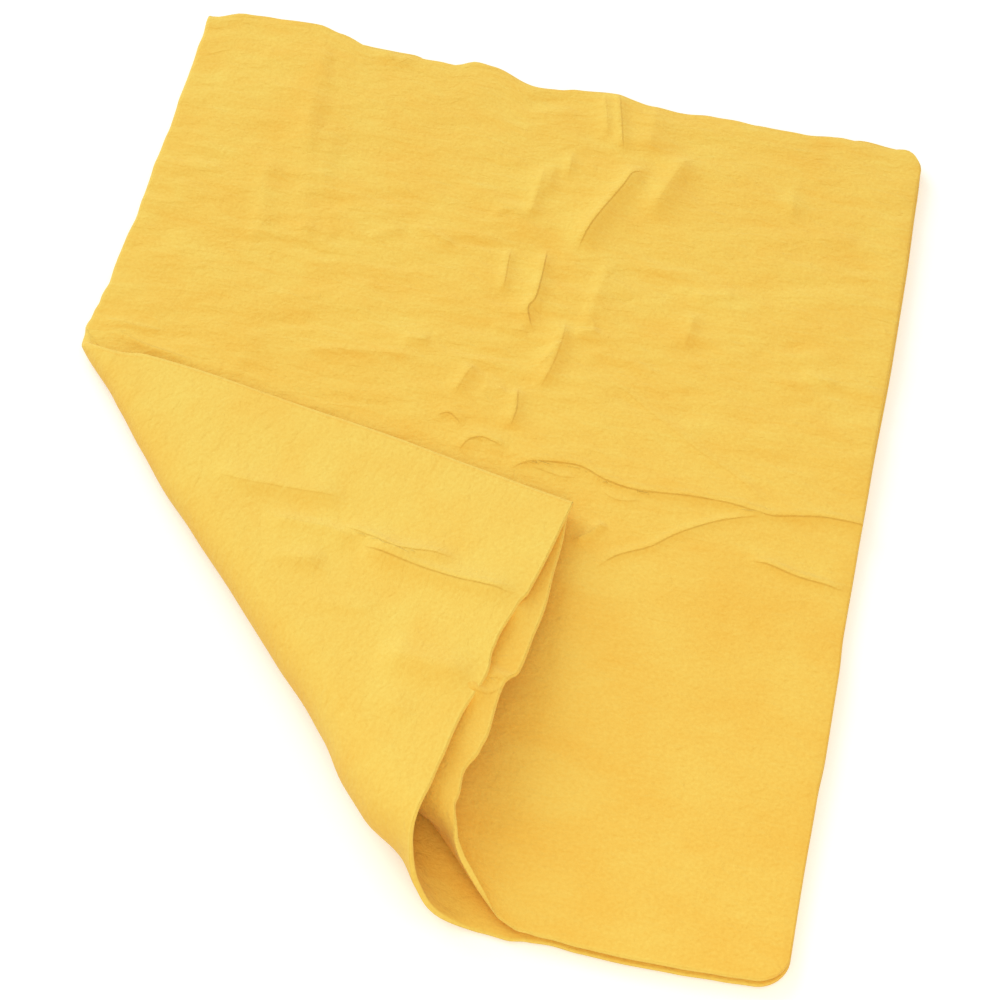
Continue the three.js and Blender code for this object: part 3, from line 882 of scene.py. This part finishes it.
def folded_sheet(context):
    """The folded sheet of the scene's sizes, made once and shared by the operators."""
    sizes = context.scene.drying_cloth_sizes
    key = tuple(getattr(sizes, name) for name in sizes.__annotations__)
    if key not in SHEETS:
        SHEETS[key] = FoldedSheet(ClothForm(sizes))
    return SHEETS[key]


class ShaderBench:
    """Adds nodes to the shader of a material or of the sky."""

    def __init__(self, tree):
        self.tree = tree

    def add(self, kind, output, inputs, **settings):
        """One output of a new node; each of its inputs is a value or another node's output."""
        node = self.tree.nodes.new(kind)
        for name, value in settings.items():
            setattr(node, name, value)
        self.fill(node, inputs)
        return node.outputs[output]

    def fill(self, node, inputs):
        """Gives a node its inputs."""
        for name, value in inputs.items():
            if isinstance(value, bpy.types.NodeSocket):
                self.tree.links.new(value, node.inputs[name])
            else:
                node.inputs[name].default_value = value

    def joined(self, operation, one, other):
        """Two values put together."""
        return self.add("ShaderNodeMath", "Value", {0: one, 1: other}, operation=operation)

    def ranged(self, value, span, low, high, kind="LINEAR"):
        """A value carried over from a span to a range."""
        inputs = {"Value": value, "From Min": span[0], "From Max": span[1], "To Min": low, "To Max": high}
        return self.add("ShaderNodeMapRange", "Result", inputs, interpolation_type=kind)

    def mixed(self, share, one, other, kind="MIX"):
        """Two colours mixed by a share."""
        inputs = {"Factor": share, "A": one, "B": other}
        return self.add("ShaderNodeMix", "Result", inputs, data_type="RGBA", blend_type=kind)

    def seen(self):
        """1 where the camera, a reflection or a clear piece sees the surface, else 0."""
        rays = self.add("ShaderNodeLightPath", "Is Camera Ray", {}).node.outputs
        mirrored = self.joined("MAXIMUM", rays["Is Camera Ray"], rays["Is Glossy Ray"])
        return self.joined("MAXIMUM", mirrored, rays["Is Transmission Ray"])


class SpongeShader(ShaderBench):
    """Colour with painted shade along creases, and fine relief of the sheet, from a point's place on the
    flat sheet and its crease.
    """

    # Patterns of noise: humps in a metre across and along the sheet, detail and distortion
    CLOUDS = (30.0, 42.0, 4.0, 0.5)
    STREAKS = (45.0, 170.0, 3.0, 0.8)
    SPECKS = (620.0, 760.0, 2.0, 0.0)
    NAP = (750.0, 750.0, 3.0, 0.0)
    DAPPLE = (170.0, 230.0, 4.0, 0.6)
    RIPPLES = (55.0, 210.0, 3.0, 0.9)
    NOISE_SPAN = (0.25, 0.75)
    # Share of the paler colour in clouds, in streaks and on the cut edge, and that edge's width in m
    CLOUD_SHARE = 0.6
    STREAK_SHARE = 0.4
    CUT_EDGE_SHARE = 0.7
    CUT_EDGE = (-0.5 * MM, 1.2 * MM)
    # Streaks grow over this stretch of the sheet in m, and are weaker below it and on the turned corner
    STREAK_STRETCH = (0.14, 0.25)
    LOW_STREAKS = 0.35
    TURNED_STREAKS = 0.15
    # Where the paler colour on the turned corner's back-half layer starts, as a share of the turn
    OUTSIDE = (0.6, 1.0)
    # A crease's step, and where the painted shade along its line rises at the foot and fades at the crest,
    # in m beside its line
    STEP = (-0.8 * MM, 0.1 * MM)
    FOOT = (-1.2 * MM, -0.4 * MM)
    CREST = (-0.4 * MM, 0.3 * MM)
    SPECK_COLOUR = (0.95, 0.89, 0.78, 1.0)
    # painted shade colour, multiplied in along a crease's line
    CREASE_COLOUR = (0.88, 0.77, 0.64, 1.0)

    def __init__(self, tree, look):
        super().__init__(tree)
        self.look = look
        self.place, (self.across, self.up, self.turn) = self.attribute("sheet_at")
        _, (self.apart, height, _) = self.attribute("crease")
        self.sharp = self.ranged(height, (0.0, MM), 0.0, 1.0)
        flat = self.ranged(self.turn, (0.0, 1.0), 1.0, self.TURNED_STREAKS)
        upper = self.ranged(self.up, self.STREAK_STRETCH, self.LOW_STREAKS, 1.0)
        self.streaky = self.joined("MULTIPLY", flat, upper)

    def attribute(self, name):
        """A value that the mesh keeps at its points, whole and in its three parts."""
        vector = self.add("ShaderNodeAttribute", "Vector", {}, attribute_name=name)
        return vector, self.add("ShaderNodeSeparateXYZ", "X", {"Vector": vector}).node.outputs

    def noise(self, pattern, most):
        """Noise over the flat sheet, from 0 to a most."""
        across, along, detail, distortion = pattern
        at = self.add("ShaderNodeMapping", "Vector", {"Vector": self.place, "Scale": (across, along, 0.0)})
        inputs = {"Vector": at, "Scale": 1.0, "Detail": detail, "Distortion": distortion}
        return self.ranged(self.add("ShaderNodeTexNoise", "Fac", inputs), self.NOISE_SPAN, 0.0, most)

    def colour(self):
        """Clouds and streaks of the paler colour, fine specks, and painted shade along the line of each
        crease.
        """
        look = self.look
        # paler colour on both faces of the back half's layer, only where the corner is turned over
        corner = self.ranged(self.turn, self.OUTSIDE, 0.0, look.back_pale)
        outside = self.joined("MULTIPLY", corner, self.ranged(self.across, (-MM, 0.0), 1.0, 0.0))
        cut_edge = self.ranged(self.up, self.CUT_EDGE, self.CUT_EDGE_SHARE, 0.0)
        cloudy = self.joined("ADD", self.noise(self.CLOUDS, self.CLOUD_SHARE), cut_edge)
        streaks = self.joined("MULTIPLY", self.noise(self.STREAKS, self.STREAK_SHARE), self.streaky)
        pale = self.joined("ADD", outside, self.joined("ADD", cloudy, streaks))
        base = self.mixed(pale, (*look.sheet_colour, 1.0), (*look.pale_colour, 1.0))
        specked = self.mixed(self.noise(self.SPECKS, 1.0), base, self.SPECK_COLOUR, "MULTIPLY")
        # painted shade along each crease's line, strongest where the crease is sharp
        foot = self.ranged(self.apart, self.FOOT, 0.0, 1.0, "SMOOTHSTEP")
        crest = self.ranged(self.apart, self.CREST, 1.0, 0.0, "SMOOTHSTEP")
        line = self.joined("MULTIPLY", self.joined("MULTIPLY", foot, crest), self.sharp)
        shade = self.ranged(line, (0.0, 1.0), 0.0, look.crease_shade)
        return self.mixed(shade, specked, self.CREASE_COLOUR, "MULTIPLY")

    def relief(self):
        """Nap, dapple, fine ripples and the step of each crease, as a bump in mm."""
        look = self.look
        nap, dapple = self.noise(self.NAP, look.nap / MM), self.noise(self.DAPPLE, look.dapple / MM)
        ripples = self.joined("MULTIPLY", self.noise(self.RIPPLES, look.dapple / MM), self.streaky)
        step = self.ranged(self.apart, self.STEP, 0.0, 1.0, "SMOOTHSTEP")
        ridge = self.joined("MULTIPLY", step, self.ranged(self.sharp, (0.0, 1.0), 0.0, look.crease / MM))
        height = self.joined("ADD", self.joined("ADD", nap, dapple), self.joined("ADD", ripples, ridge))
        return self.add("ShaderNodeBump", "Normal", {"Strength": 1.0, "Distance": MM, "Height": height})


def sponge_material(look):
    """Soft, dull sponge sheet, made once: fine nap, faint streaks and a little unevenness of colour."""
    material = bpy.data.materials.get(SPONGE)
    if material:
        return material
    material = bpy.data.materials.new(SPONGE)
    material.use_nodes = True
    sponge = SpongeShader(material.node_tree, look)
    sponge.fill(material.node_tree.nodes["Principled BSDF"], {
        "Base Color": sponge.colour(),
        "Normal": sponge.relief(),
        "Roughness": 0.95,
        "Specular IOR Level": 0.12,
        "Sheen Weight": look.sheen,
        "Sheen Roughness": 0.6,
        "Sheen Tint": (*look.sheen_tint, 1.0),
    })
    return material


class DryingClothSizes(bpy.types.PropertyGroup):
    """Sizes of the sheet and of the way it is folded."""

    sheet_width: setting(LENGTH, "Sheet width", "Width of the open sheet", 0.664)
    sheet_length: setting(LENGTH, "Sheet length", "Length of the sheet along its half fold", 0.410)
    thickness: setting(LENGTH, "Thickness", "Thickness of the sheet", 0.002)
    corner_radius: setting(LENGTH, "Corner radius", "Radius of the sheet's free corners", 0.012)
    layer_gap: setting(LENGTH, "Layer gap", "Air between layers that lie on each other", 0.0003)
    turn_on_fold: setting(LENGTH, "Turn on the fold", "Where the turn's line meets the half fold", 0.230)
    turn_on_edge: setting(LENGTH, "Turn on the edge", "Where the turn's line meets the bottom edge", 0.219)
    fold_core_radius: setting(LENGTH, "Core at the fold", "Roll's open radius at the half fold", 0.0005)
    mouth_core_radius: setting(LENGTH, "Core at the mouth", "Roll's open radius at its mouth", 0.0078)
    tip_clearance: setting(LENGTH, "Tip clearance", "Air under the tip of the turned corner", 0.0034)
    mouth_sag: setting(LENGTH, "Mouth sag", "How far the inner layer sags at the mouth", 0.0044)
    mouth_shift: setting(LENGTH, "Mouth shift", "How far the inner layer slides along at the mouth", 0.014)
    loose_turn: setting(ANGLE, "Loosest turn", "Turn where the inner layer is loosest", math.radians(66.0))
    loose_spread_laid: setting(LENGTH, "Loose, laid", "How far the loose part reaches the laid half", 0.019)
    loose_spread_turned: setting(LENGTH, "Loose, turned", "How far it reaches the turned corner", 0.058)
    inner_slack: setting(LENGTH, "Inner slack", "How far the inner layer sticks out of the corner", 0.0096)
    slack_rise: setting(LENGTH, "Slack rise", "Edge length over which the slack rises from the tip", 0.056)
    slack_fade: setting(LENGTH, "Slack fade", "Edge length over which it fades towards the mouth", 0.166)
    tip_sag: setting(LENGTH, "Tip sag", "How far the inner layer sags off the outer beside the tip", 0.0012)
    pinch: setting(LENGTH, "Pinch", "How far the cloth is pinched in where the corner turns", 0.0053)
    lift_clearance: setting(LENGTH, "Lift clearance", "Room beside the turned corner for the lift", 0.008)
    wrinkle_scale: setting({**SHARE, "max": 2.0}, "Wrinkles", "Height of the wrinkles", 1.0)


class DryingClothLook(bpy.types.PropertyGroup):
    """Colours, finish and painted crease shade of the sheet."""

    sheet_colour: setting(COLOUR, "Sheet colour", "Colour of the sheet", (0.96, 0.58, 0.09))
    pale_colour: setting(COLOUR, "Pale colour", "Colour of its clouds and streaks", (0.975, 0.71, 0.15))
    # paler colour on the back half's layer where the corner is turned over, from 0.6 of the turn
    back_pale: setting(SHARE, "Pale outside", "How much paler the outside of the sheet is", 0.4)
    sheen: setting(SHARE, "Sheen", "Soft light on the nap", 0.14)
    sheen_tint: setting(COLOUR, "Sheen tint", "Colour of that light", (1.0, 0.82, 0.75))
    nap: setting(LENGTH, "Nap", "Depth of the sheet's fine nap", 0.0001)
    dapple: setting(LENGTH, "Dapple", "Depth of the sheet's fine ripples", 0.0003)
    crease: setting(LENGTH, "Crease", "Step at the line of a sharp 1 mm high wrinkle", 0.00035)
    # painted shade: how much darker the colour is drawn along a sharp crease's line
    crease_shade: setting(SHARE, "Crease shade", "How much deeper the colour is in such a line", 0.5)


class DryingClothStage(bpy.types.PropertyGroup):
    """Camera and light round the cloth."""

    lens: bpy.props.FloatProperty(name="Lens", description="Focal length", default=93.34, unit="CAMERA")
    azimuth: setting(ANGLE, "Azimuth", "Camera's place round the cloth", math.radians(9.37))
    elevation: setting(ANGLE, "Elevation", "Camera's height over it", math.radians(55.44))
    roll: setting(ANGLE, "Roll", "Camera's tilt", math.radians(3.31))
    distance: setting(LENGTH, "Distance", "From the camera to its target", 1.035)
    target: setting(POINT, "Target", "Point that the camera looks at", (0.0226, -0.01935, 0.0))
    sky: setting(COLOUR, "Sky", "Light from all round", (0.77, 0.706, 0.57))
    key: setting(POWER, "Key light", "Power of the soft lamp at the upper left", 52.0)
    key_colour: setting(COLOUR, "Key colour", "Colour of that lamp", (0.48, 0.74, 1.0))
    key_size: setting(LENGTH, "Key size", "Side of that lamp", 1.8)
    key_place: setting(POINT, "Key place", "Place of that lamp", (-1.9, 1.7, 1.25))
    fill: setting(POWER, "Fill light", "Power of the soft lamp in front", 1.16)
    fill_colour: setting(COLOUR, "Fill colour", "Colour of that lamp", (1.0, 0.92, 0.75))
    fill_size: setting(LENGTH, "Fill size", "Side of that lamp", 0.4)
    fill_place: setting(POINT, "Fill place", "Place of that lamp", (0.25, -0.62, 0.55))
    floor_colour: setting(COLOUR, "Floor", "Colour of the floor", (0.9, 0.9, 0.9))
    floor_glow: setting(SHARE, "Floor glow", "How much paler than lit the floor is seen", 0.3)
    floor_reach: setting(LENGTH, "Floor reach", "From the middle of the floor to its sides", 6.0)
    floor_drop: setting(LENGTH, "Floor drop", "How far the floor lies below the cloth", 0.0004)


class DRYINGCLOTH_OT_laid_halves(bpy.types.Operator):
    """Add the laid back half and the laid front half"""

    bl_idname = "drying_cloth.laid_halves"
    bl_label = "Laid Halves"

    def execute(self, context):
        sheet = folded_sheet(context)
        form = sheet.form
        material = sponge_material(context.scene.drying_cloth_look)
        strips = [[sheet.piece(bend, inner) for bend in range(1, BENDS + 1)] for inner in (False, True)]
        back = sheet.show("laid_back_half", material)
        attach(back, "laid_cloth")
        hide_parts("back_half", "half_fold")
        sheet.cut(LAID, False)
        front = sheet.show("laid_front_half", material)
        middle = np.array([form.lift_line, 0.0, form.stack])
        spread = np.array([form.LIFT_REACH, 0.0, 0.0])
        sheet.in_row(middle - spread)
        sheet.in_row(middle + spread)
        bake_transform(front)
        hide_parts("front_half", "front_half_free_side")
        sheet.cut(LAID, True)
        return {"FINISHED"}


class DRYINGCLOTH_OT_roll(bpy.types.Operator):
    """Add both layers of the roll at the turned corner's fold line, one piece for each bend"""

    bl_idname = "drying_cloth.roll"
    bl_label = "Roll"

    def execute(self, context):
        sheet = folded_sheet(context)
        form = sheet.form
        material = sponge_material(context.scene.drying_cloth_look)
        for bend in range(1, BENDS + 1):
            for inner in (False, True):
                piece = sheet.show(sheet.piece(bend, inner), material)
                point, way = form.bend_plane(bend, inner)
                reach = way * form.BEND_REACH
                sheet.in_row(point - reach)
                sheet.in_row(point + reach)
                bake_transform(piece)
                if bend < BENDS:
                    layer = "inner" if inner else "outer"
                    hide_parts(f"roll_{layer}_layer_{bend}")
                    if not inner:
                        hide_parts(f"roll_half_fold_{bend}")
        return {"FINISHED"}


class DRYINGCLOTH_OT_turned_corner(bpy.types.Operator):
    """Add the turned corner, both layers and their piece of the half fold"""

    bl_idname = "drying_cloth.turned_corner"
    bl_label = "Turned Corner"

    def execute(self, context):
        sheet = folded_sheet(context)
        piece = sheet.show("turned_corner", sponge_material(context.scene.drying_cloth_look))
        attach(piece, "turned_corner")
        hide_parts("turned_corner_outer_layer", "turned_corner_inner_layer",
                    "turned_corner_half_fold")
        sheet.cut(CORNER, False) + sheet.cut(CORNER, True)
        return {"FINISHED"}


class DRYINGCLOTH_OT_stage(bpy.types.Operator):
    """Add the floor, light and camera"""

    bl_idname = "drying_cloth.stage"
    bl_label = "Stage"

    SENSOR_WIDTH = 36.0

    def execute(self, context):
        scene, stage = context.scene, context.scene.drying_cloth_stage
        scene.view_settings.view_transform = "Standard"
        self.floor(scene, stage)
        self.sky(scene, stage)
        for name in ("key", "fill"):
            self.lamp(scene, stage, name)
        self.camera(scene, stage)
        return {"FINISHED"}

    @staticmethod
    def lamp(scene, stage, name):
        """A soft lamp that points at the cloth."""
        lamp = bpy.data.lights.new(name, "AREA")
        lamp.energy = getattr(stage, name)
        lamp.color = getattr(stage, f"{name}_colour")
        lamp.size = getattr(stage, f"{name}_size")
        light = bpy.data.objects.new(name, lamp)
        light.location = getattr(stage, f"{name}_place")
        light.rotation_euler = (-light.location).to_track_quat("-Z", "Y").to_euler()
        scene.collection.objects.link(light)

    @staticmethod
    def floor(scene, stage):
        """A plain pale floor that keeps the cloth's shadow."""
        mesh = bpy.data.meshes.new("floor")
        corners = [(x * stage.floor_reach, y * stage.floor_reach, 0)
                   for x, y in ((-1, -1), (1, -1), (1, 1), (-1, 1))]
        mesh.from_pydata(corners, [], [(0, 1, 2, 3)])
        floor = bpy.data.objects.new("floor", mesh)
        floor.location.z = -stage.floor_drop
        scene.collection.objects.link(floor)
        material = bpy.data.materials.new("floor")
        material.use_nodes = True
        bench = ShaderBench(material.node_tree)
        bench.fill(material.node_tree.nodes["Principled BSDF"], {
            "Base Color": (*stage.floor_colour, 1.0),
            "Roughness": 1.0,
            "Specular IOR Level": 0.0,
            "Emission Color": WHITE,
            "Emission Strength": bench.joined("MULTIPLY", bench.seen(), stage.floor_glow),
        })
        mesh.materials.append(material)

    @staticmethod
    def sky(scene, stage):
        """Even light from all round, seen as white."""
        world = bpy.data.worlds.new("sky")
        scene.world = world
        world.use_nodes = True
        bench = ShaderBench(world.node_tree)
        colour = bench.mixed(bench.seen(), (*stage.sky, 1.0), WHITE)
        bench.fill(world.node_tree.nodes["Background"], {"Color": colour})

    def camera(self, scene, stage):
        """The camera at the photo's angle."""
        lens = bpy.data.cameras.new("camera")
        lens.lens = stage.lens
        lens.sensor_width = self.SENSOR_WIDTH
        camera = bpy.data.objects.new("camera", lens)
        scene.collection.objects.link(camera)
        level, height = math.cos(stage.elevation), math.sin(stage.elevation)
        ahead, aside = math.cos(stage.azimuth), math.sin(stage.azimuth)
        back = Vector((aside * level, -ahead * level, height))
        right = Vector((ahead, aside, 0.0))
        up = back.cross(right)
        turned = right * math.cos(stage.roll) + up * math.sin(stage.roll)
        upright = up * math.cos(stage.roll) - right * math.sin(stage.roll)
        place = Matrix((turned, upright, back)).transposed().to_4x4()
        place.translation = Vector(stage.target) + back * stage.distance
        camera.matrix_world = place
        scene.camera = camera


OPERATORS = [
    DRYINGCLOTH_OT_roll,
    DRYINGCLOTH_OT_laid_halves,
    DRYINGCLOTH_OT_turned_corner,
    DRYINGCLOTH_OT_stage,
]


class DRYINGCLOTH_PT_panel(bpy.types.Panel):
    """Pieces of the drying cloth"""

    bl_idname = "DRYINGCLOTH_PT_panel"
    bl_label = "Drying Cloth"
    bl_space_type = "VIEW_3D"
    bl_region_type = "UI"
    bl_category = "Cloth"

    def draw(self, context):
        for operator in OPERATORS:
            self.layout.operator(operator.bl_idname)
        for group in GROUPS:
            settings = getattr(context.scene, group)
            for name in settings.__annotations__:
                self.layout.prop(settings, name)


GROUPS = {
    "drying_cloth_sizes": DryingClothSizes,
    "drying_cloth_look": DryingClothLook,
    "drying_cloth_stage": DryingClothStage,
}


def register():
    for group, kind in GROUPS.items():
        bpy.utils.register_class(kind)
        setattr(bpy.types.Scene, group, bpy.props.PointerProperty(type=kind))
    for kind in [*OPERATORS, DRYINGCLOTH_PT_panel]:
        bpy.utils.register_class(kind)


def unregister():
    for kind in [DRYINGCLOTH_PT_panel, *reversed(OPERATORS)]:
        bpy.utils.unregister_class(kind)
    for group, kind in GROUPS.items():
        delattr(bpy.types.Scene, group)
        bpy.utils.unregister_class(kind)


def main():
    register()
    bpy.ops.drying_cloth.roll()
    bpy.ops.drying_cloth.laid_halves()
    bpy.ops.drying_cloth.turned_corner()
    bpy.ops.drying_cloth.stage()


if __name__ == "__main__":
    main()
